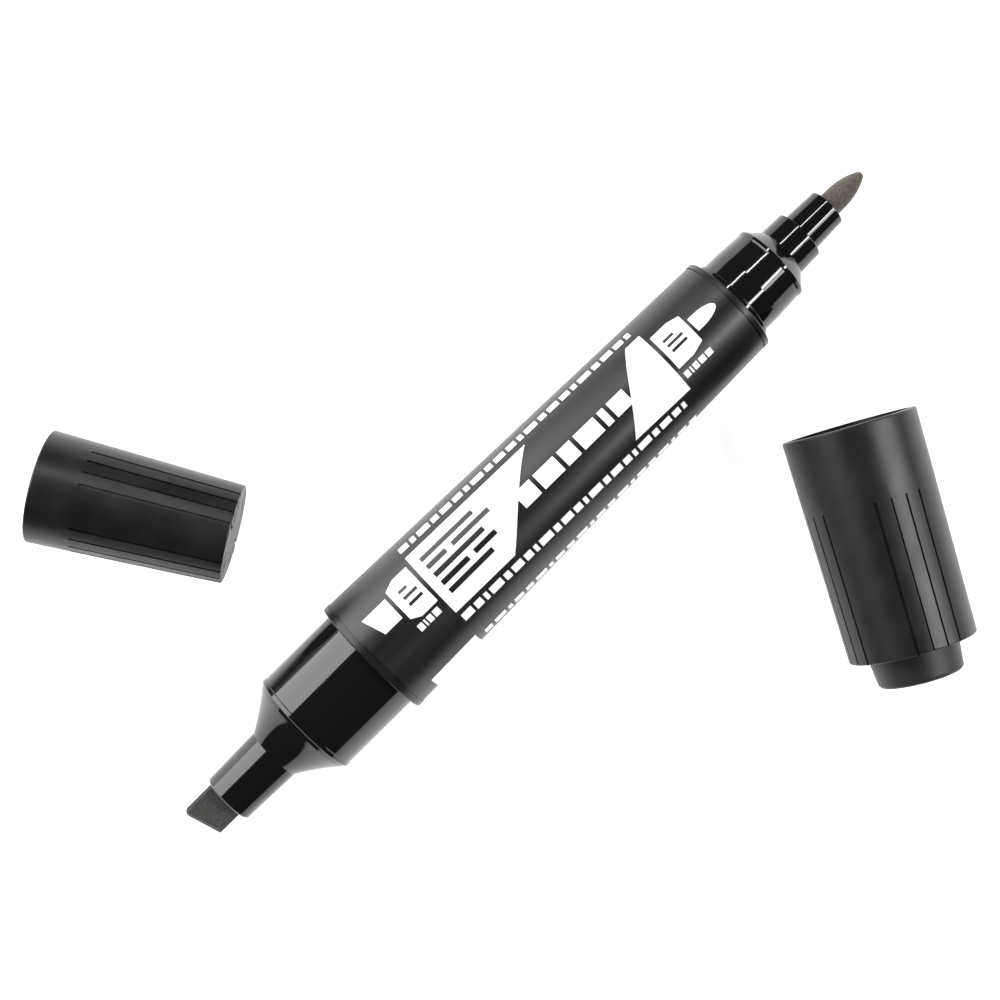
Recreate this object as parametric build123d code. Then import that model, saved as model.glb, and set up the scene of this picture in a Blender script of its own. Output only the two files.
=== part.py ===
from build123d import *
import math
import os

# Twin-tip calligraphy marker with its two caps off, lying on a table at z = 0.
# Every piece is turned about its own +X axis and then laid down on its lower side.
# Pen stations run from the tip of the chisel nib, cap stations from the cap's mouth.
# Lengths are in millimetres and angles in degrees.

# Where the pieces lie: (x, y) of station 0, and the heading of the axis in plan.
PEN_PLACE = (-66.3, 0.0)
PEN_HEADING = 0.0
FINE_CAP_PLACE = (-47.6, 53.5)
FINE_CAP_HEADING = -58.8
BROAD_CAP_PLACE = (45.5, -25.5)
BROAD_CAP_HEADING = -118.3

# Barrel: a tapered tube with a collar at each end and a printed film between them.
BARREL_START = 36.2
BARREL_END = 112.1
BARREL_START_RADIUS = 10.2
BARREL_END_RADIUS = 8.4
BROAD_COLLAR_LENGTH = 1.1
FINE_COLLAR_LENGTH = 0.9
FILM_GAP = 0.2
FILM_THICKNESS = 0.1
FILM_RECESS = 0.08
BARREL_WALL = 1.65
EDGE_ROUND = 0.25
ASSEMBLY_GAP = 0.03

# Broad end: neck, trumpet cone, snap flange and grip.
BROAD_NECK_END = 6.1
BROAD_NECK_TIP_RADIUS = 4.15
CONE_SMALL_STATION = 15.8
CONE_SMALL_RADIUS = 4.4
CONE_LARGE_STATION = 21.7
CONE_LARGE_RADIUS = 8.55
CONE_SAG = 0.16
FLANGE_START = 22.2
FLANGE_END = 23.0
FLANGE_RADIUS = 9.0
BROAD_GRIP_RADIUS = 8.9
BROAD_PLUG_LENGTH = 9.0

# Fine end: base ring, cap seat, tapered grip, end bead, chamfer and neck.
BASE_RING_LENGTH = 0.9
BASE_RING_RADIUS = 7.0
FINE_SEAT_RADIUS = 6.65
FINE_SEAT_END = 116.0
FINE_GRIP_END_RADIUS = 6.4
BEAD_START = 120.3
BEAD_END = 121.0
BEAD_RADIUS = 6.5
FINE_NECK_START = 123.1
FINE_NECK_START_RADIUS = 4.3
FINE_NECK_END = 127.1
FINE_NECK_END_RADIUS = 4.2
FINE_PLUG_LENGTH = 8.0

# Nib holder: a slim tube pressed into the fine neck.
HOLDER_START = 118.0
HOLDER_PLUG_RADIUS = 2.55
HOLDER_BASE_RADIUS = 3.35
HOLDER_TIP_RADIUS = 3.15
HOLDER_END = 133.1

# Felt nibs.
CHISEL_WIDTH = 6.2
CHISEL_THICKNESS = 2.8
CHISEL_OFFSET = 0.3
CHISEL_SLANT = 1.9
CHISEL_CORNER_ROUND = 0.9
CHISEL_EDGE_BREAK = 0.45
CHISEL_STEM_END = 34.0
BULLET_RADIUS = 1.95
BULLET_SHOULDER = 135.0
BULLET_TIP = 140.4
BULLET_NOSE_FLAT = 0.5
BULLET_NOSE_ROUND = 0.5
BULLET_STEM_START = 106.0
BULLET_STEM_RADIUS = 1.3
BULLET_STEM_END = 121.0

# Ink core and its film wrap.
CORE_RADIUS = 5.85
CORE_START = 28.0
CORE_END = 113.4
WRAP_THICKNESS = 0.1
CORE_CAVITY_RADIUS = 6.02
BROAD_CAVITY_START = 27.5
FINE_CAVITY_END = 114.0

# Broad cap.
BROAD_CAP_LENGTH = 34.8
BROAD_CAP_MOUTH_RADIUS = 10.3
BROAD_CAP_END_RADIUS = 9.75
BROAD_BORE_RADIUS = 9.06
BROAD_BORE_LENGTH = 14.6
BROAD_END_WALL = 1.6
BROAD_INNER_END_RADIUS = 8.2
BOSS_HOLE_RADIUS = 7.0
BROAD_GROOVE_START = 11.6
BROAD_FIRST_GROOVE = -8.0
BROAD_GROOVE_PITCH = 13.9
BROAD_WIDE_GROOVE = 0.42

# Broad inner cap, whose closed end shows as the boss.
BOSS_END_RADIUS = 6.5
BOSS_END = 39.6
BOSS_ROUND = 0.7
BOSS_WALL = 1.2
INNER_SKIRT_START = 19.0
INNER_SKIRT_OUTER = 6.8
INNER_SKIRT_INNER = 5.6
INNER_FLANGE_RADIUS = 7.9
INNER_FLANGE_THICKNESS = 1.2
INNER_LIP_START = 20.6
INNER_LIP_END = 21.6
INNER_LIP_RADIUS = 4.45

# Fine cap.
FINE_CAP_LENGTH = 29.9
FINE_CAP_MOUTH_RADIUS = 8.75
FINE_CAP_END_RADIUS = 7.65
FINE_MOUTH_BORE_RADIUS = 7.1
FINE_MOUTH_BORE_LENGTH = 1.2
FINE_BORE_RADIUS = 6.71
FINE_BORE_END = 9.3
FINE_DEEP_RADIUS = 6.2
FINE_DEEP_START = 10.6
FINE_END_WALL = 0.8
FINE_GROOVE_START = 6.9
FINE_FIRST_GROOVE = 13.0
FINE_GROOVE_PITCH = 14.3
FINE_WIDE_GROOVE = 0.55
FACE_GROOVE_LENGTH = 3.2

# Fine inner cap: the sleeve that seals the fine neck.
SLEEVE_START = 11.3
SLEEVE_SEAL_RADIUS = 4.35
SLEEVE_STEP = 15.3
SLEEVE_BORE_RADIUS = 3.42
SLEEVE_BORE_END = 28.5

# Finger grooves of both caps.
GROOVE_GROUPS = 4
GROOVES_PER_GROUP = 4
GROOVE_WIDTH = 0.32
GROOVE_DEPTH = 0.3

# How much further than the solid a cutter reaches.
OVERSHOOT = 1.0


def turned(points, rounded=(), radius=EDGE_ROUND):
    """Solid turned about X from (station, radius) points, with some of its corners rounded."""
    outline = make_face(Polyline(*points, close=True))
    if rounded:
        places = [Vector(station, distance, 0) for station, distance in rounded]
        corners = [
            vertex
            for vertex in outline.vertices()
            if any((Vector(vertex.X, vertex.Y, 0) - place).length < ASSEMBLY_GAP for place in places)
        ]
        outline = fillet(corners, radius)
    return revolve(outline, Axis.X)


def rod(start, end, radius):
    """Cylinder along X between two stations."""
    return turned([(start, 0), (start, radius), (end, radius), (end, 0)])


def taper_between(length, start_radius, end_radius):
    """Half-angle of a cone, in degrees."""
    return math.degrees(math.atan2(start_radius - end_radius, length))


BARREL_TAPER = taper_between(BARREL_END - BARREL_START, BARREL_START_RADIUS, BARREL_END_RADIUS)
BROAD_CAP_TAPER = taper_between(BROAD_CAP_LENGTH, BROAD_CAP_MOUTH_RADIUS, BROAD_CAP_END_RADIUS)
FINE_CAP_TAPER = taper_between(FINE_CAP_LENGTH, FINE_CAP_MOUTH_RADIUS, FINE_CAP_END_RADIUS)


def barrel_radius(station):
    """Radius of the barrel's two collars, which share one cone."""
    return BARREL_START_RADIUS - (station - BARREL_START) * math.tan(math.radians(BARREL_TAPER))


def bore_radius(station):
    """Radius of the barrel's tapered bore."""
    return barrel_radius(station) - BARREL_WALL


def lying_frame(place, heading, radius, station, taper):
    """Frame of a cone that lies on its lower side: +X runs along its axis and dips by its taper."""
    dip = math.radians(taper)
    height = radius * math.cos(dip) + station * math.sin(dip)
    along = Vector(1, 0, 0).rotate(Axis.Y, taper).rotate(Axis.Z, heading)
    upward = Vector(0, 0, 1).rotate(Axis.Y, taper).rotate(Axis.Z, heading)
    return Plane(origin=(place[0], place[1], height), x_dir=along, z_dir=upward)


def pen_frame():
    return lying_frame(PEN_PLACE, PEN_HEADING, BARREL_START_RADIUS, BARREL_START, BARREL_TAPER)


def broad_cap_frame():
    return lying_frame(BROAD_CAP_PLACE, BROAD_CAP_HEADING, BROAD_CAP_MOUTH_RADIUS, 0, BROAD_CAP_TAPER)


def fine_cap_frame():
    return lying_frame(FINE_CAP_PLACE, FINE_CAP_HEADING, FINE_CAP_MOUTH_RADIUS, 0, FINE_CAP_TAPER)


def film_ends():
    """Stations where the label film starts and ends, just inside the two collars."""
    start = BARREL_START + BROAD_COLLAR_LENGTH + FILM_GAP
    end = BARREL_END - FINE_COLLAR_LENGTH - FILM_GAP
    return start, end


def barrel():
    """Tapered tube with a seat for the film between its two collars."""
    seat_drop = FILM_RECESS + FILM_THICKNESS + ASSEMBLY_GAP
    broad_step = BARREL_START + BROAD_COLLAR_LENGTH
    fine_step = BARREL_END - FINE_COLLAR_LENGTH
    start_edge = (BARREL_START, BARREL_START_RADIUS)
    broad_edge = (broad_step, barrel_radius(broad_step))
    fine_edge = (fine_step, barrel_radius(fine_step))
    end_edge = (BARREL_END, BARREL_END_RADIUS)
    outline = [
        (BARREL_START, bore_radius(BARREL_START)),
        start_edge,
        broad_edge,
        (broad_step, barrel_radius(broad_step) - seat_drop),
        (fine_step, barrel_radius(fine_step) - seat_drop),
        fine_edge,
        end_edge,
        (BARREL_END, bore_radius(BARREL_END)),
    ]
    return turned(outline, rounded=[start_edge, end_edge])


def label_film():
    """Thin skin that lies just below the collars."""
    start, end = film_ends()
    outer_start = barrel_radius(start) - FILM_RECESS
    outer_end = barrel_radius(end) - FILM_RECESS
    outline = [
        (start, outer_start - FILM_THICKNESS),
        (start, outer_start),
        (end, outer_end),
        (end, outer_end - FILM_THICKNESS),
    ]
    return turned(outline)


def broad_section_outline():
    """Outline of the broad section from its neck to its plug."""
    plug_end = BARREL_START + BROAD_PLUG_LENGTH
    middle = (CONE_SMALL_STATION + CONE_LARGE_STATION) / 2
    middle_radius = (CONE_SMALL_RADIUS + CONE_LARGE_RADIUS) / 2
    cone = ThreePointArc(
        (CONE_SMALL_STATION, CONE_SMALL_RADIUS),
        (middle + CONE_SAG / 2, middle_radius - CONE_SAG),
        (CONE_LARGE_STATION, CONE_LARGE_RADIUS),
    )
    front = Polyline(
        (BROAD_NECK_END, 0),
        (BROAD_NECK_END, BROAD_NECK_TIP_RADIUS - EDGE_ROUND),
        (BROAD_NECK_END + EDGE_ROUND, BROAD_NECK_TIP_RADIUS),
        (CONE_SMALL_STATION, CONE_SMALL_RADIUS),
    )
    back = Polyline(
        (CONE_LARGE_STATION, CONE_LARGE_RADIUS),
        (FLANGE_START, FLANGE_RADIUS - EDGE_ROUND / 2),
        (FLANGE_START + EDGE_ROUND / 2, FLANGE_RADIUS),
        (FLANGE_END - EDGE_ROUND / 2, FLANGE_RADIUS),
        (FLANGE_END, BROAD_GRIP_RADIUS),
        (BARREL_START, BROAD_GRIP_RADIUS),
        (BARREL_START, bore_radius(BARREL_START) - ASSEMBLY_GAP),
        (plug_end, bore_radius(plug_end) - ASSEMBLY_GAP),
        (plug_end, 0),
        (BROAD_NECK_END, 0),
    )
    return make_face(front + cone + back)


def chisel_slot():
    """Straight channel that the chisel nib passes through."""
    length = CORE_START - BROAD_NECK_END + 2 * OVERSHOOT
    width = CHISEL_WIDTH + 2 * ASSEMBLY_GAP
    thickness = CHISEL_THICKNESS + 2 * ASSEMBLY_GAP
    middle = BROAD_NECK_END - OVERSHOOT + length / 2
    return Pos(middle, CHISEL_OFFSET, 0) * Box(length, width, thickness)


def broad_section():
    """Neck, trumpet cone, snap flange, grip and plug, with the nib channel and the core's seat."""
    body = revolve(broad_section_outline(), Axis.X)
    cavity = rod(BROAD_CAVITY_START, BARREL_START + BROAD_PLUG_LENGTH + OVERSHOOT, CORE_CAVITY_RADIUS)
    return body - cavity - chisel_slot()


def broad_nib():
    """Flat chisel felt with a slanted writing edge and a rounded leading corner."""
    high = CHISEL_OFFSET + CHISEL_WIDTH / 2
    low = CHISEL_OFFSET - CHISEL_WIDTH / 2
    outline = make_face(
        Polyline((0, high), (CHISEL_SLANT, low), (CHISEL_STEM_END, low), (CHISEL_STEM_END, high), close=True)
    )
    leading = outline.vertices().sort_by(Axis.X)[0]
    outline = fillet(leading, CHISEL_CORNER_ROUND)
    nib = extrude(outline, CHISEL_THICKNESS / 2, both=True)
    edges = nib.edges().filter_by(Axis.X, reverse=True).filter_by(Axis.Z, reverse=True)
    writing = [edge for edge in edges if edge.center().X < BROAD_NECK_END / 2]
    return chamfer(writing, CHISEL_EDGE_BREAK)


def fine_section():
    """Plug, base ring, cap seat, tapered grip, chamfer and neck, bored for the nib holder."""
    plug_start = BARREL_END - FINE_PLUG_LENGTH
    ring_end = BARREL_END + BASE_RING_LENGTH
    plug_radius = bore_radius(BARREL_END) - ASSEMBLY_GAP
    ring_edge = (ring_end, BASE_RING_RADIUS)
    neck_edge = (FINE_NECK_END, FINE_NECK_END_RADIUS)
    bead_edge = (BEAD_END, BEAD_RADIUS)
    outline = [
        (plug_start, 0),
        (plug_start, plug_radius),
        (BARREL_END, plug_radius),
        (BARREL_END, BASE_RING_RADIUS),
        ring_edge,
        (ring_end, FINE_SEAT_RADIUS),
        (FINE_SEAT_END, FINE_SEAT_RADIUS),
        (BEAD_START, FINE_GRIP_END_RADIUS),
        (BEAD_START + EDGE_ROUND, BEAD_RADIUS),
        bead_edge,
        (FINE_NECK_START, FINE_NECK_START_RADIUS),
        neck_edge,
        (FINE_NECK_END, 0),
    ]
    body = turned(outline, rounded=[ring_edge, neck_edge, bead_edge], radius=EDGE_ROUND / 2)
    cavity = rod(plug_start - OVERSHOOT, FINE_CAVITY_END, CORE_CAVITY_RADIUS)
    holder_bore = rod(FINE_CAVITY_END - OVERSHOOT, FINE_NECK_END + OVERSHOOT, HOLDER_PLUG_RADIUS + ASSEMBLY_GAP)
    return body - cavity - holder_bore


def fine_nib_holder():
    """Slim tube pressed into the fine neck."""
    tip_edge = (HOLDER_END, HOLDER_TIP_RADIUS)
    outline = [
        (HOLDER_START, 0),
        (HOLDER_START, HOLDER_PLUG_RADIUS),
        (FINE_NECK_END + ASSEMBLY_GAP, HOLDER_PLUG_RADIUS),
        (FINE_NECK_END + ASSEMBLY_GAP, HOLDER_BASE_RADIUS),
        tip_edge,
        (HOLDER_END, 0),
    ]
    body = turned(outline, rounded=[tip_edge])
    nib_bore = rod(BULLET_STEM_END, HOLDER_END + OVERSHOOT, BULLET_RADIUS + ASSEMBLY_GAP)
    stem_bore = rod(HOLDER_START - OVERSHOOT, HOLDER_END, BULLET_STEM_RADIUS + ASSEMBLY_GAP)
    return body - nib_bore - stem_bore


def fine_nib():
    """Bullet felt with a rounded nose and a thin stem."""
    nose = (BULLET_TIP, BULLET_NOSE_FLAT)
    base = Polyline(
        nose,
        (BULLET_TIP, 0),
        (BULLET_STEM_START, 0),
        (BULLET_STEM_START, BULLET_STEM_RADIUS),
        (BULLET_STEM_END, BULLET_STEM_RADIUS),
        (BULLET_STEM_END, BULLET_RADIUS),
        (BULLET_SHOULDER, BULLET_RADIUS),
    )
    flank = TangentArc((BULLET_SHOULDER, BULLET_RADIUS), nose, tangent=(1, 0))
    outline = make_face(base + flank)
    corner = outline.vertices().sort_by_distance(nose)[0]
    return revolve(fillet(corner, BULLET_NOSE_ROUND), Axis.X)


def ink_reservoir():
    """Fibre core, with the pockets that the two nib stems press into it."""
    core = rod(CORE_START, CORE_END, CORE_RADIUS)
    chisel_length = CHISEL_STEM_END - CORE_START + OVERSHOOT
    chisel_middle = CORE_START - OVERSHOOT + chisel_length / 2
    chisel_pocket = Pos(chisel_middle, CHISEL_OFFSET, 0) * Box(chisel_length, CHISEL_WIDTH, CHISEL_THICKNESS)
    stem_pocket = rod(BULLET_STEM_START, CORE_END + OVERSHOOT, BULLET_STEM_RADIUS)
    return core - chisel_pocket - stem_pocket


def reservoir_wrap():
    """Clear film tube round the fibre core."""
    inner = CORE_RADIUS + ASSEMBLY_GAP
    outer = inner + WRAP_THICKNESS
    return turned([(CORE_START, inner), (CORE_START, outer), (CORE_END, outer), (CORE_END, inner)])


def long_groove(start, end, mouth_radius, taper, width):
    """Cutter for one finger groove on the +Y side of a tapered cap."""
    middle = (start + end) / 2
    radius = mouth_radius - middle * math.tan(math.radians(taper))
    return Pos(middle, radius, 0) * Rot(Z=-taper) * Box(end - start, 2 * GROOVE_DEPTH, width)


def face_groove(cap_length, end_radius, width):
    """Cutter for a groove that carries on across a cap's end face."""
    middle = end_radius - FACE_GROOVE_LENGTH / 2
    return Pos(cap_length, middle, 0) * Box(GROOVE_DEPTH, FACE_GROOVE_LENGTH, width)


def grooved(shell, first_angle, pitch, narrow, wide):
    """Cut the groups of grooves; the first groove of each group is the wide one."""
    cutters = []
    for group in range(GROOVE_GROUPS):
        for index in range(GROOVES_PER_GROUP):
            angle = first_angle + group * 360 / GROOVE_GROUPS + index * pitch
            cutter = wide if index == 0 else narrow
            cutters.append(Rot(X=90 - angle) * cutter)
    for cutter in cutters:
        shell -= cutter
    return shell


def broad_cap_shell():
    """Outer cap with a bore that slides over the broad grip and a hole for the boss."""
    inner_end = BROAD_CAP_LENGTH - BROAD_END_WALL
    mouth_edge = (0, BROAD_CAP_MOUTH_RADIUS)
    end_edge = (BROAD_CAP_LENGTH, BROAD_CAP_END_RADIUS)
    outline = [
        (0, BROAD_BORE_RADIUS),
        mouth_edge,
        end_edge,
        (BROAD_CAP_LENGTH, BOSS_HOLE_RADIUS),
        (inner_end, BOSS_HOLE_RADIUS),
        (inner_end, BROAD_INNER_END_RADIUS),
        (BROAD_BORE_LENGTH, BROAD_BORE_RADIUS),
    ]
    shell = turned(outline, rounded=[mouth_edge, end_edge])
    end = BROAD_CAP_LENGTH + OVERSHOOT
    narrow = long_groove(BROAD_GROOVE_START, end, BROAD_CAP_MOUTH_RADIUS, BROAD_CAP_TAPER, GROOVE_WIDTH)
    wide = long_groove(BROAD_GROOVE_START, end, BROAD_CAP_MOUTH_RADIUS, BROAD_CAP_TAPER, BROAD_WIDE_GROOVE)
    return grooved(shell, BROAD_FIRST_GROOVE, BROAD_GROOVE_PITCH, narrow, wide)


def broad_inner_cap():
    """Sealing cap: a boss that closes the end, a flange, a skirt and a lip that seals on the neck."""
    seat = BROAD_CAP_LENGTH - BROAD_END_WALL - ASSEMBLY_GAP
    flange_start = seat - INNER_FLANGE_THICKNESS
    boss_edge = (BOSS_END, BOSS_END_RADIUS)
    neck_radius = BOSS_HOLE_RADIUS - ASSEMBLY_GAP
    outline = [
        (INNER_SKIRT_START, 0),
        (INNER_SKIRT_START, INNER_SKIRT_OUTER),
        (flange_start, INNER_SKIRT_OUTER),
        (flange_start, INNER_FLANGE_RADIUS),
        (seat, INNER_FLANGE_RADIUS),
        (seat, neck_radius),
        (BROAD_CAP_LENGTH, neck_radius),
        boss_edge,
        (BOSS_END, 0),
    ]
    body = turned(outline, rounded=[boss_edge], radius=BOSS_ROUND)
    mouth = rod(INNER_SKIRT_START - OVERSHOOT, INNER_LIP_START, INNER_SKIRT_INNER)
    lip = rod(INNER_SKIRT_START, INNER_LIP_END + OVERSHOOT, INNER_LIP_RADIUS)
    deep = turned(
        [
            (INNER_LIP_END, 0),
            (INNER_LIP_END, INNER_SKIRT_INNER),
            (BROAD_CAP_LENGTH, INNER_SKIRT_INNER),
            (BOSS_END - BOSS_WALL, BOSS_END_RADIUS - BOSS_WALL),
            (BOSS_END - BOSS_WALL, 0),
        ]
    )
    return body - mouth - lip - deep


def fine_cap_shell():
    """Outer cap with a bore that slides over the fine grip, closed by a thin end wall."""
    inner_end = FINE_CAP_LENGTH - FINE_END_WALL
    mouth_edge = (0, FINE_CAP_MOUTH_RADIUS)
    end_edge = (FINE_CAP_LENGTH, FINE_CAP_END_RADIUS)
    outline = [
        (0, FINE_MOUTH_BORE_RADIUS),
        mouth_edge,
        end_edge,
        (FINE_CAP_LENGTH, 0),
        (inner_end, 0),
        (inner_end, FINE_DEEP_RADIUS),
        (FINE_DEEP_START, FINE_DEEP_RADIUS),
        (FINE_BORE_END, FINE_BORE_RADIUS),
        (FINE_MOUTH_BORE_LENGTH, FINE_BORE_RADIUS),
        (FINE_MOUTH_BORE_LENGTH, FINE_MOUTH_BORE_RADIUS),
    ]
    shell = turned(outline, rounded=[mouth_edge, end_edge])
    end = FINE_CAP_LENGTH + OVERSHOOT
    cutters = []
    for width in (GROOVE_WIDTH, FINE_WIDE_GROOVE):
        side = long_groove(FINE_GROOVE_START, end, FINE_CAP_MOUTH_RADIUS, FINE_CAP_TAPER, width)
        cutters.append(side + face_groove(FINE_CAP_LENGTH, FINE_CAP_END_RADIUS, width))
    return grooved(shell, FINE_FIRST_GROOVE, FINE_GROOVE_PITCH, cutters[0], cutters[1])


def fine_inner_cap():
    """Sleeve inside the fine cap that seals on the neck and closes over the bullet nib."""
    outer = FINE_DEEP_RADIUS - ASSEMBLY_GAP
    end = FINE_CAP_LENGTH - FINE_END_WALL - ASSEMBLY_GAP
    outline = [
        (SLEEVE_START, SLEEVE_SEAL_RADIUS),
        (SLEEVE_START, outer),
        (end, outer),
        (end, 0),
        (SLEEVE_BORE_END, 0),
        (SLEEVE_BORE_END, SLEEVE_BORE_RADIUS),
        (SLEEVE_STEP, SLEEVE_BORE_RADIUS),
        (SLEEVE_STEP, SLEEVE_SEAL_RADIUS),
    ]
    return turned(outline)


PIECES = {
    "pen": [
        barrel,
        label_film,
        broad_section,
        broad_nib,
        fine_section,
        fine_nib_holder,
        fine_nib,
        ink_reservoir,
        reservoir_wrap,
    ],
    "broad_cap": [broad_cap_shell, broad_inner_cap],
    "fine_cap": [fine_cap_shell, fine_inner_cap],
}


def resting_frames():
    return {"pen": pen_frame(), "broad_cap": broad_cap_frame(), "fine_cap": fine_cap_frame()}


def assemble():
    """Every piece where it lies, by node name, and the shift that centres the whole over the origin."""
    laid = {}
    frames = resting_frames()
    for group, makers in PIECES.items():
        for maker in makers:
            laid[maker.__name__] = frames[group].location * maker()
    boxes = [piece.bounding_box() for piece in laid.values()]
    low = [min(getattr(box.min, axis) for box in boxes) for axis in "XYZ"]
    high = [max(getattr(box.max, axis) for box in boxes) for axis in "XYZ"]
    shift = Vector(-(low[0] + high[0]) / 2, -(low[1] + high[1]) / 2, -low[2])
    return {name: Pos(*shift) * piece for name, piece in laid.items()}, shift


def main():
    os.makedirs("parts", exist_ok=True)
    pieces, shift = assemble()
    for name, piece in pieces.items():
        export_step(piece, f"parts/{name}.step")
    print("shift to the row's origin:", tuple(round(value, 4) for value in shift))


main()
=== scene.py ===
import math
import bmesh
import bpy
from mathutils import Matrix, Vector


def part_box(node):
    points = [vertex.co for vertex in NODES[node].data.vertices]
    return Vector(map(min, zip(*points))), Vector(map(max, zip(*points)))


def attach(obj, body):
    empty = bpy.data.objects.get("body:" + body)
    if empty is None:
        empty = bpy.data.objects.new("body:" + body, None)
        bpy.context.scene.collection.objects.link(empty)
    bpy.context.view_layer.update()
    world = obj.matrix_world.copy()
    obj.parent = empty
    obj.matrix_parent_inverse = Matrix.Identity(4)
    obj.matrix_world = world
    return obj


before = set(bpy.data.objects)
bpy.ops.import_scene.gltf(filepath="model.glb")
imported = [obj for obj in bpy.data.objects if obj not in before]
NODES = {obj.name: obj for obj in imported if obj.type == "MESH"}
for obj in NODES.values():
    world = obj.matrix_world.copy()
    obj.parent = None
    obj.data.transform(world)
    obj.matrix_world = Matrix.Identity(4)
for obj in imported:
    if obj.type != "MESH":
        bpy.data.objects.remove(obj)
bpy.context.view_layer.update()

MM = 0.001

# Barrel cone: stations run along the pen from the tip of the chisel nib.
BARREL_START = 36.2 * MM
BARREL_END = 112.1 * MM
BARREL_START_RADIUS = 10.2 * MM
BARREL_END_RADIUS = 8.4 * MM
TAPER = math.atan2(BARREL_START_RADIUS - BARREL_END_RADIUS, BARREL_END - BARREL_START)
PRINT_DEPTH = 0.045 * MM
KNOCKOUT_DEPTH = 0.025 * MM
PRINT_STEP = 0.5 * MM

# Materials: the middle band of a noise value, and the depth of a fine bump.
NOISE_LOW = 0.3
NOISE_HIGH = 0.7
FINE_BUMP = 0.02 * MM
TABLE_GLOW = 0.68

# Studio: sizes in metres, angles in degrees, card powers in watts.
TABLE_HALF_SIZE = 3.0
AIR_STRENGTH = 0.06
AIM_ALONG = 0.07
CARDS = [
    ("main_card", (-0.32, 0.72, 0.46), 1.0, 0.95, 19.0),
    ("right_card", (0.6, -0.55, 0.62), 0.45, 0.45, 7.0),
    ("strip_card", (0.28, 0.33, 0.62), 0.35, 0.03, 1.2),
    ("far_strip_card", (0.3, -0.34, 0.6), 0.4, 0.06, 2.0),
]
LENS_LENGTH_MM = 67.5
SENSOR_WIDTH_MM = 36.0
NEAR_CLIP = 0.01
CAMERA_HEIGHT = 0.292
CAMERA_ALONG = 66.3 * MM
CAMERA_ACROSS = 3.26 * MM
CAMERA_TURN = -44.63

PEN_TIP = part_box("broad_nib")[0]
PEN_MIDDLE_Y = (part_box("barrel")[0].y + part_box("barrel")[1].y) / 2
PEN_ORIGIN = Vector(
    (
        PEN_TIP.x,
        PEN_MIDDLE_Y,
        BARREL_START_RADIUS * math.cos(TAPER) + BARREL_START * math.sin(TAPER),
    )
)
PEN_ALONG = Vector((math.cos(TAPER), 0, -math.sin(TAPER)))
PEN_ACROSS = Vector((0, 1, 0))
PEN_UP = Vector((math.sin(TAPER), 0, math.cos(TAPER)))


# ---------------------------------------------------------------- shader maths


class Socket:
    """A shader socket that can be used in Python expressions."""

    def __init__(self, material, output):
        self.material = material
        self.output = output

    def maths(self, operation, *others):
        node = self.material.node_tree.nodes.new("ShaderNodeMath")
        node.operation = operation
        for index, value in enumerate((self,) + others):
            join(self.material, value, node.inputs[index])
        return Socket(self.material, node.outputs[0])

    def __add__(self, other):
        return self.maths("ADD", other)

    def __sub__(self, other):
        return self.maths("SUBTRACT", other)

    def __mul__(self, other):
        return self.maths("MULTIPLY", other)

    def __rsub__(self, other):
        return (self * -1.0).maths("ADD", other)

    __radd__ = __add__
    __rmul__ = __mul__


def join(material, value, socket):
    """Links a Socket, or sets a plain value."""
    if isinstance(value, Socket):
        material.node_tree.links.new(value.output, socket)
    else:
        socket.default_value = value


class Finish:
    """A material with one Principled shader and helpers that add nodes to it."""

    def __init__(self, name):
        self.material = bpy.data.materials.new(name)
        self.material.use_nodes = True
        self.shader = self.material.node_tree.nodes["Principled BSDF"]

    def node(self, kind, settings=None, sockets=None, output=0):
        """Adds any node: its settings first, then the values or links of its sockets."""
        node = self.material.node_tree.nodes.new(kind)
        for key, value in (settings or {}).items():
            setattr(node, key, value)
        for key, value in (sockets or {}).items():
            join(self.material, value, node.inputs[key])
        return Socket(self.material, node.outputs[output])

    def place(self):
        """Object coordinates in metres."""
        return self.node("ShaderNodeTexCoord", output=3)

    def noise(self, scale, detail=3.0, roughness=0.5, place=None):
        vector = place or self.place()
        sockets = {"Vector": vector, "Scale": scale, "Detail": detail, "Roughness": roughness}
        return self.node("ShaderNodeTexNoise", None, sockets)

    def cells(self, scale):
        sockets = {"Vector": self.place(), "Scale": scale}
        return self.node("ShaderNodeTexVoronoi", None, sockets)

    def stretched(self, scales):
        """Object coordinates stretched by a factor along each axis."""
        return self.node(
            "ShaderNodeVectorMath",
            {"operation": "MULTIPLY"},
            {0: self.place(), 1: scales},
        )

    def between(self, value, low, high, start=0.0, end=1.0):
        """Maps a value from low..high to start..end and stays inside it."""
        sockets = {"Value": value, "From Min": low, "From Max": high, "To Min": start, "To Max": end}
        return self.node("ShaderNodeMapRange", {"clamp": True}, sockets)

    def blend(self, factor, first, second):
        """Mixes two colours."""
        node = self.material.node_tree.nodes.new("ShaderNodeMix")
        node.data_type = "RGBA"
        join(self.material, factor, node.inputs["Factor"])
        join(self.material, first, node.inputs[6])
        join(self.material, second, node.inputs[7])
        return Socket(self.material, node.outputs[2])

    def bump(self, height, strength, distance):
        sockets = {"Height": height, "Strength": strength, "Distance": distance}
        return self.node("ShaderNodeBump", None, sockets)

    def set(self, **values):
        """Sets the shader's sockets; underscores stand for spaces."""
        for key, value in values.items():
            join(self.material, value, self.shader.inputs[key.replace("_", " ")])
        return self.material


def grey(value, warmth=0.0):
    return (value * (1 + warmth), value, value * (1 - warmth), 1.0)


# -------------------------------------------------------------------- finishes


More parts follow.
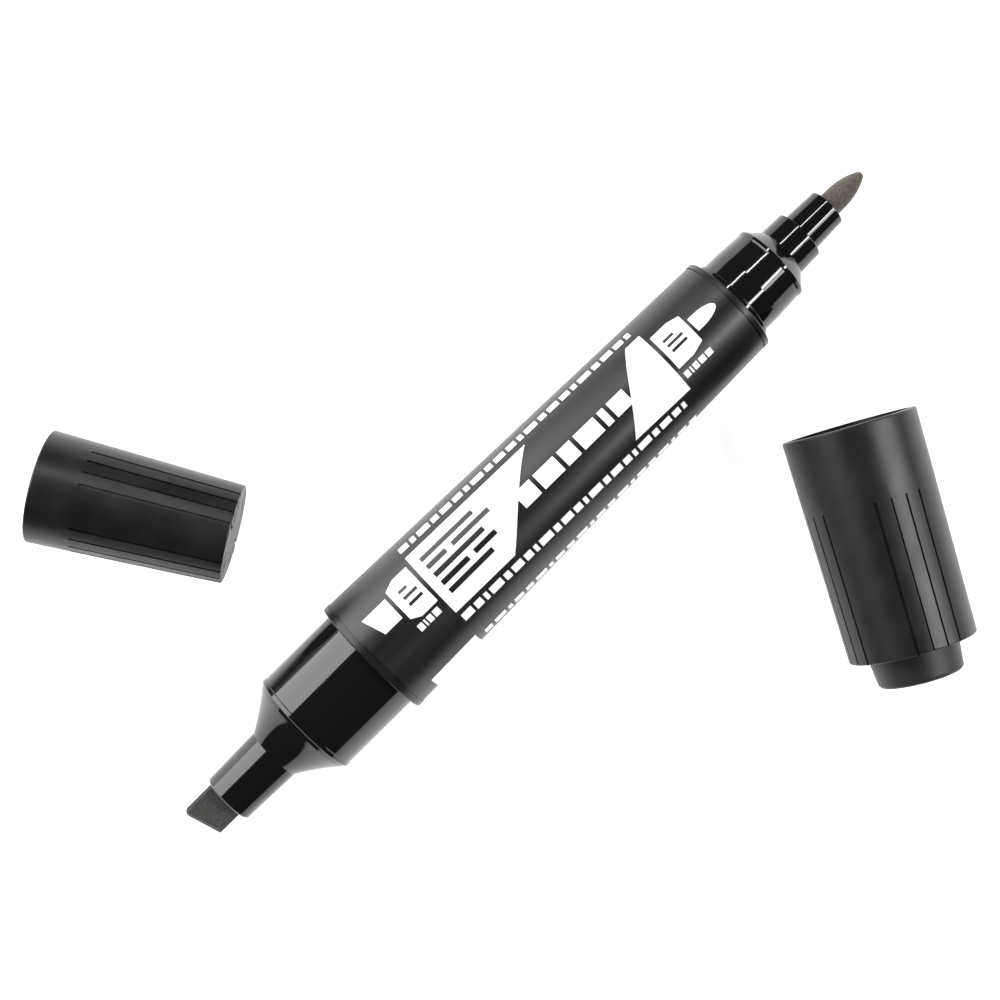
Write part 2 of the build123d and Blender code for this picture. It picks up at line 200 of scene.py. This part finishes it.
def moulded_plastic(name, dark, light, rough, grain, warmth=0.0):
    """Fine-grained black plastic with handling marks that dull it in patches."""
    finish = Finish(name)
    sparkle = finish.noise(9000.0, 2.0)
    clouds = finish.noise(160.0, 4.0, 0.6)
    scuffs = finish.between(finish.noise(700.0, 6.0, 0.75), 0.62, 0.75)
    tone = finish.between(clouds * 0.7 + sparkle * 0.3, 0.35, 0.65)
    colour = finish.blend(tone, grey(dark, warmth), grey(light, warmth))
    roughness = finish.between(clouds, NOISE_LOW, NOISE_HIGH, rough - 0.04, rough + 0.05) + scuffs * 0.06
    height = sparkle * 0.7 + finish.cells(5200.0) * 0.3
    return finish.set(
        Base_Color=colour,
        Roughness=roughness,
        Normal=finish.bump(height, grain, FINE_BUMP),
        Specular_IOR_Level=0.33,
    )


def polished_plastic(name):
    """Glossy black plastic with faint moulding waves, dust and hair scratches."""
    finish = Finish(name)
    waves = finish.noise(60.0, 2.0)
    dust = finish.between(finish.noise(2600.0, 5.0, 0.8), 0.7, 0.8)
    scratches = finish.noise(1.0, 3.0, 0.6, finish.stretched((300.0, 5200.0, 5200.0)))
    colour = finish.blend(dust, grey(0.0035), grey(0.03))
    roughness = finish.between(scratches, 0.45, 0.75, 0.05, 0.11) + dust * 0.15
    return finish.set(
        Base_Color=colour,
        Roughness=roughness,
        Normal=finish.bump(waves, 0.25, FINE_BUMP),
        IOR=1.5,
    )


def printed_film(name):
    """Matte black film with a fine tooth."""
    finish = Finish(name)
    tooth = finish.noise(7000.0, 3.0, 0.6)
    streaks = finish.noise(1.0, 3.0, 0.5, finish.stretched((90.0, 900.0, 900.0)))
    colour = finish.blend(streaks, grey(0.0032), grey(0.0052, 0.02))
    return finish.set(
        Base_Color=colour,
        Roughness=finish.between(streaks, NOISE_LOW, NOISE_HIGH, 0.31, 0.37),
        Normal=finish.bump(tooth, 0.18, FINE_BUMP),
        Specular_IOR_Level=0.42,
    )


def white_ink(name):
    """Screen-printed white with slight pinholes and uneven cover."""
    finish = Finish(name)
    cover = finish.noise(1400.0, 4.0, 0.6)
    pinholes = finish.between(finish.noise(5200.0, 2.0), 0.70, 0.78)
    paint = finish.blend(cover, (0.8, 0.8, 0.8, 1.0), (0.9, 0.9, 0.9, 1.0))
    colour = finish.blend(pinholes * 0.25, paint, grey(0.3))
    return finish.set(
        Base_Color=colour,
        Roughness=finish.between(cover, NOISE_LOW, NOISE_HIGH, 0.42, 0.52),
        Normal=finish.bump(cover, 0.15, 0.01 * MM),
    )


def felt(name, dark, light, speck, along):
    """Ink-soaked felt: fibres along the nib, crossed by specks of lighter fibre ends."""
    finish = Finish(name)
    fibres = finish.noise(1.0, 5.0, 0.7, finish.stretched(along))
    clumps = finish.noise(1500.0, 4.0, 0.7)
    ends = finish.between(finish.noise(5200.0, 4.0, 0.7), 0.56, 0.66)
    body = finish.blend(finish.between(fibres * 0.6 + clumps * 0.4, 0.36, 0.62), dark, light)
    colour = finish.blend(ends * 0.65, body, speck)
    height = fibres * 0.5 + clumps * 0.3 + ends * 0.4
    return finish.set(
        Base_Color=colour,
        Roughness=finish.between(clumps, NOISE_LOW, NOISE_HIGH, 0.75, 0.95),
        Normal=finish.bump(height, 0.9, 0.12 * MM),
        Sheen_Weight=0.25,
        Sheen_Roughness=0.5,
    )


def clear_film(name):
    """Thin clear film with faint wrinkles."""
    finish = Finish(name)
    wrinkles = finish.noise(400.0, 4.0, 0.6)
    return finish.set(
        Base_Color=(0.75, 0.76, 0.78, 1.0),
        Roughness=finish.between(wrinkles, NOISE_LOW, NOISE_HIGH, 0.12, 0.3),
        Normal=finish.bump(wrinkles, 0.3, 0.05 * MM),
        Transmission_Weight=0.8,
    )


def table_surface(name):
    """Plain pale table top."""
    finish = Finish(name)
    clouds = finish.noise(12.0, 3.0)
    colour = finish.blend(clouds, (0.86, 0.86, 0.86, 1.0), (0.9, 0.9, 0.9, 1.0))
    return finish.set(
        Base_Color=colour,
        Roughness=finish.between(clouds, NOISE_LOW, NOISE_HIGH, 0.55, 0.65),
        Emission_Color=colour,
        Emission_Strength=TABLE_GLOW,
    )


CAP_PLASTIC = moulded_plastic("cap_plastic", 0.003, 0.007, 0.38, 0.35, 0.03)
COLLAR_PLASTIC = moulded_plastic("barrel_plastic", 0.004, 0.007, 0.28, 0.2, 0.02)
BOSS_PLASTIC = moulded_plastic("boss_plastic", 0.008, 0.013, 0.47, 0.4, 0.07)
SEAL_PLASTIC = moulded_plastic("seal_plastic", 0.006, 0.009, 0.22, 0.15)
POLISHED_PLASTIC = polished_plastic("section_plastic")
FILM = printed_film("label_film")
WHITE_INK = white_ink("white_ink")
CHISEL_FELT = felt(
    "chisel_felt", grey(0.004, 0.1), grey(0.03, 0.08), grey(0.09, 0.06), (1500.0, 3800.0, 3800.0)
)
BULLET_FELT = felt(
    "bullet_felt", grey(0.012, 0.3), grey(0.06, 0.25), (0.26, 0.19, 0.15, 1.0), (1100.0, 4200.0, 4200.0)
)
INK_FIBRE = felt("ink_core", grey(0.004), grey(0.02), grey(0.05), (300.0, 4200.0, 4200.0))
CLEAR_WRAP = clear_film("clear_wrap")

FINISH_OF_NODE = {
    "barrel": COLLAR_PLASTIC,
    "label_film": FILM,
    "broad_section": POLISHED_PLASTIC,
    "broad_nib": CHISEL_FELT,
    "fine_section": POLISHED_PLASTIC,
    "fine_nib_holder": POLISHED_PLASTIC,
    "fine_nib": BULLET_FELT,
    "ink_reservoir": INK_FIBRE,
    "reservoir_wrap": CLEAR_WRAP,
    "broad_cap_shell": CAP_PLASTIC,
    "broad_inner_cap": BOSS_PLASTIC,
    "fine_cap_shell": CAP_PLASTIC,
    "fine_inner_cap": SEAL_PLASTIC,
}


def dress_nodes():
    """Gives every CAD node its finish."""
    for name, finish in FINISH_OF_NODE.items():
        for slot in NODES[name].material_slots:
            slot.material = finish


# ------------------------------------------------------- print on the barrel


def barrel_point(station, angle, sink):
    """Point of the print, at a station in metres and an angle from the top in radians."""
    radius = BARREL_START_RADIUS - (station - BARREL_START) * math.tan(TAPER) - sink
    outward = PEN_ACROSS * math.sin(angle) + PEN_UP * math.cos(angle)
    return PEN_ORIGIN + PEN_ALONG * station + outward * radius


def print_patch(name, corners, ink=WHITE_INK, sink=PRINT_DEPTH):
    """Flat printed shape from (station mm, angle degrees) corners, wrapped round the barrel."""
    mesh = bmesh.new()
    ring = []
    for station, angle in corners:
        ring.append(mesh.verts.new((station * MM, math.radians(angle) * BARREL_START_RADIUS, 0)))
    mesh.faces.new(ring)
    stations = [vertex.co.x for vertex in ring]
    spreads = [vertex.co.y for vertex in ring]
    slice_patch(mesh, 0, min(stations), max(stations))
    slice_patch(mesh, 1, min(spreads), max(spreads))
    for vertex in mesh.verts:
        vertex.co = barrel_point(vertex.co.x, vertex.co.y / BARREL_START_RADIUS, sink)
    bmesh.ops.recalc_face_normals(mesh, faces=mesh.faces)
    data = bpy.data.meshes.new(name)
    mesh.to_mesh(data)
    mesh.free()
    piece = bpy.data.objects.new(name, data)
    bpy.context.scene.collection.objects.link(piece)
    data.materials.append(ink)
    for face in data.polygons:
        face.use_smooth = True
    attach(piece, "pen")


def slice_patch(mesh, axis, low, high):
    """Cuts a flat patch into narrow strips, so that it can bend."""
    normal = [0, 0, 0]
    normal[axis] = 1
    for index in range(1, math.ceil((high - low) / PRINT_STEP)):
        point = [0, 0, 0]
        point[axis] = low + index * PRINT_STEP
        geometry = mesh.verts[:] + mesh.edges[:] + mesh.faces[:]
        bmesh.ops.bisect_plane(mesh, geom=geometry, plane_co=point, plane_no=normal)


def rectangle(start, end, low, high):
    return [(start, low), (end, low), (end, high), (start, high)]


def print_row(name, start, end, low, high, lean, widths, gap):
    """Row of plain bars of varied widths between two stations, leaning by an angle from end to end."""
    station = start
    index = 0
    while station + widths[index % len(widths)] <= end:
        width = widths[index % len(widths)]
        drift = lean * (station - start) / (end - start)
        corners = rectangle(station, station + width, low + drift, high + drift)
        print_patch(f"{name}_{index:02d}", corners)
        station += width + gap
        index += 1


# Printed shapes, as stations in mm and angles from the top in degrees.
BULLET_BASE = 104.3
BULLET_SHOULDER = 0.8
BULLET_TIP = 108.8
BULLET_MIDDLE = 11.0
BULLET_HALF = 8.2
BULLET_STEPS = 14


def bullet_icon():
    """Rounded nib outline made of a half ellipse."""
    reach = BULLET_TIP - BULLET_BASE - BULLET_SHOULDER
    corners = [(BULLET_BASE, BULLET_MIDDLE - BULLET_HALF), (BULLET_BASE, BULLET_MIDDLE + BULLET_HALF)]
    for index in range(1, BULLET_STEPS):
        turn = math.pi / 2 - math.pi * index / BULLET_STEPS
        station = BULLET_BASE + BULLET_SHOULDER + reach * math.cos(turn)
        corners.append((station, BULLET_MIDDLE + BULLET_HALF * math.sin(turn)))
    return corners


SHAPES = {
    "broad_nib_mark": [(40.6, 6.0), (44.0, 6.0), (44.0, 28.5), (39.3, 28.5)],
    "broad_tag": [(44.7, 0.5), (46.2, -4.5), (49.4, -4.5), (49.4, 37.5), (46.6, 37.5), (44.7, 32.5)],
    "fine_nib_mark": bullet_icon(),
    "fine_tag": [(98.3, -10.0), (101.4, -10.0), (103.7, -6.0), (103.8, 28.5), (101.8, 32.5), (98.5, 32.5)],
    "broad_panel": [(50.0, -23.5), (62.0, -25.0), (74.5, 45.0), (50.2, 45.0)],
    "fine_panel": [(86.5, -30.5), (97.6, -33.5), (97.8, 44.5), (95.0, 44.5)],
    "side_tag": rectangle(40.3, 49.6, -96.0, -58.0),
}

# Rows of bars: name, start, end, low, high, lean, widths, gap.
BAR_ROWS = [
    ("title_bar", 68.0, 92.0, -2.0, 15.5, 0.0, [3.2, 4.1, 2.6, 4.1, 1.2], 0.75),
    ("upper_bar", 50.2, 97.6, 53.0, 61.5, 0.0, [1.7, 0.9, 2.3, 1.3, 2.0], 0.55),
    ("lower_bar", 50.2, 97.6, -36.5, -28.5, -10.0, [2.0, 1.4, 0.7, 2.4, 1.1], 0.5),
    ("side_bar", 51.0, 97.6, -74.0, -64.5, -6.0, [1.5, 2.2, 0.8, 1.8], 0.6),
    ("broad_size_bar", 44.6, 49.6, -14.0, -7.5, 0.0, [0.9, 0.3, 0.9, 1.1], 0.3),
    ("fine_size_bar", 98.3, 103.8, -23.0, -16.0, 0.0, [0.9, 0.3, 0.9, 1.1, 1.1], 0.3),
]

# Dark bars inside the white shapes: start, end, low.
PANEL_KNOCKOUTS = [
    (51.6, 60.4, -9.0),
    (51.6, 57.0, 0.5),
    (58.2, 62.5, 0.5),
    (51.6, 61.5, 10.0),
    (51.6, 55.4, 19.5),
    (56.6, 64.0, 19.5),
    (51.6, 62.0, 29.0),
]
TAG_KNOCKOUTS = [
    (46.0, 48.6, 8.0),
    (46.0, 48.6, 15.0),
    (46.0, 47.6, 22.0),
    (99.4, 102.4, 5.0),
    (99.4, 102.4, 11.5),
    (99.4, 101.4, 18.0),
]
PANEL_KNOCKOUT_HEIGHT = 5.0
TAG_KNOCKOUT_HEIGHT = 3.0


def print_marks():
    """Plain blocks, nib outlines and rows of bars that stand in for the print."""
    for name, corners in SHAPES.items():
        print_patch(name, corners)
    for row in BAR_ROWS:
        print_row(*row)


def knockouts():
    """Plain dark bars left unprinted inside the white shapes."""
    rows = [(row, PANEL_KNOCKOUT_HEIGHT) for row in PANEL_KNOCKOUTS]
    rows += [(row, TAG_KNOCKOUT_HEIGHT) for row in TAG_KNOCKOUTS]
    for index, ((start, end, low), height) in enumerate(rows):
        corners = rectangle(start, end, low, low + height)
        print_patch(f"knockout_{index:02d}", corners, FILM, KNOCKOUT_DEPTH)


# ------------------------------------------------------------- studio


def flat_card(name, centre, target, width, height, power):
    """Rectangular studio light that faces a target."""
    light = bpy.data.lights.new(name, "AREA")
    light.shape = "RECTANGLE"
    light.size = width
    light.size_y = height
    light.energy = power
    lamp = bpy.data.objects.new(name, light)
    lamp.location = centre
    lamp.rotation_euler = (Vector(target) - Vector(centre)).to_track_quat("-Z", "Y").to_euler()
    bpy.context.scene.collection.objects.link(lamp)


def studio():
    """Pale table, a large soft light on the +Y side, a smaller one opposite and two narrow strips."""
    middle = (PEN_ORIGIN.x + AIM_ALONG, PEN_MIDDLE_Y, 0.0)
    table = bpy.data.meshes.new("table")
    edge = TABLE_HALF_SIZE
    corners = [(-edge, -edge, 0), (edge, -edge, 0), (edge, edge, 0), (-edge, edge, 0)]
    table.from_pydata(corners, [], [range(len(corners))])
    table.materials.append(table_surface("table_surface"))
    floor = bpy.data.objects.new("table", table)
    bpy.context.scene.collection.objects.link(floor)
    for name, centre, width, height, power in CARDS:
        flat_card(name, centre, middle, width, height, power)
    world = bpy.data.worlds.new("studio_air")
    world.use_nodes = True
    background = world.node_tree.nodes["Background"]
    background.inputs["Color"].default_value = (1.0, 1.0, 1.0, 1.0)
    background.inputs["Strength"].default_value = AIR_STRENGTH
    bpy.context.scene.world = world


def camera():
    """Looks straight down, turned so that the pen runs along the frame's diagonal."""
    view = bpy.data.cameras.new("camera")
    view.lens = LENS_LENGTH_MM
    view.sensor_width = SENSOR_WIDTH_MM
    view.clip_start = NEAR_CLIP
    eye = bpy.data.objects.new("camera", view)
    place = Vector((PEN_ORIGIN.x + CAMERA_ALONG, PEN_MIDDLE_Y + CAMERA_ACROSS, CAMERA_HEIGHT))
    turn = Matrix.Rotation(math.radians(CAMERA_TURN), 4, "Z")
    eye.matrix_world = Matrix.Translation(place) @ turn
    bpy.context.scene.collection.objects.link(eye)
    bpy.context.scene.camera = eye


dress_nodes()
print_marks()
knockouts()
studio()
camera()
bpy.context.scene.view_settings.view_transform = "Standard"
bpy.context.view_layer.update()
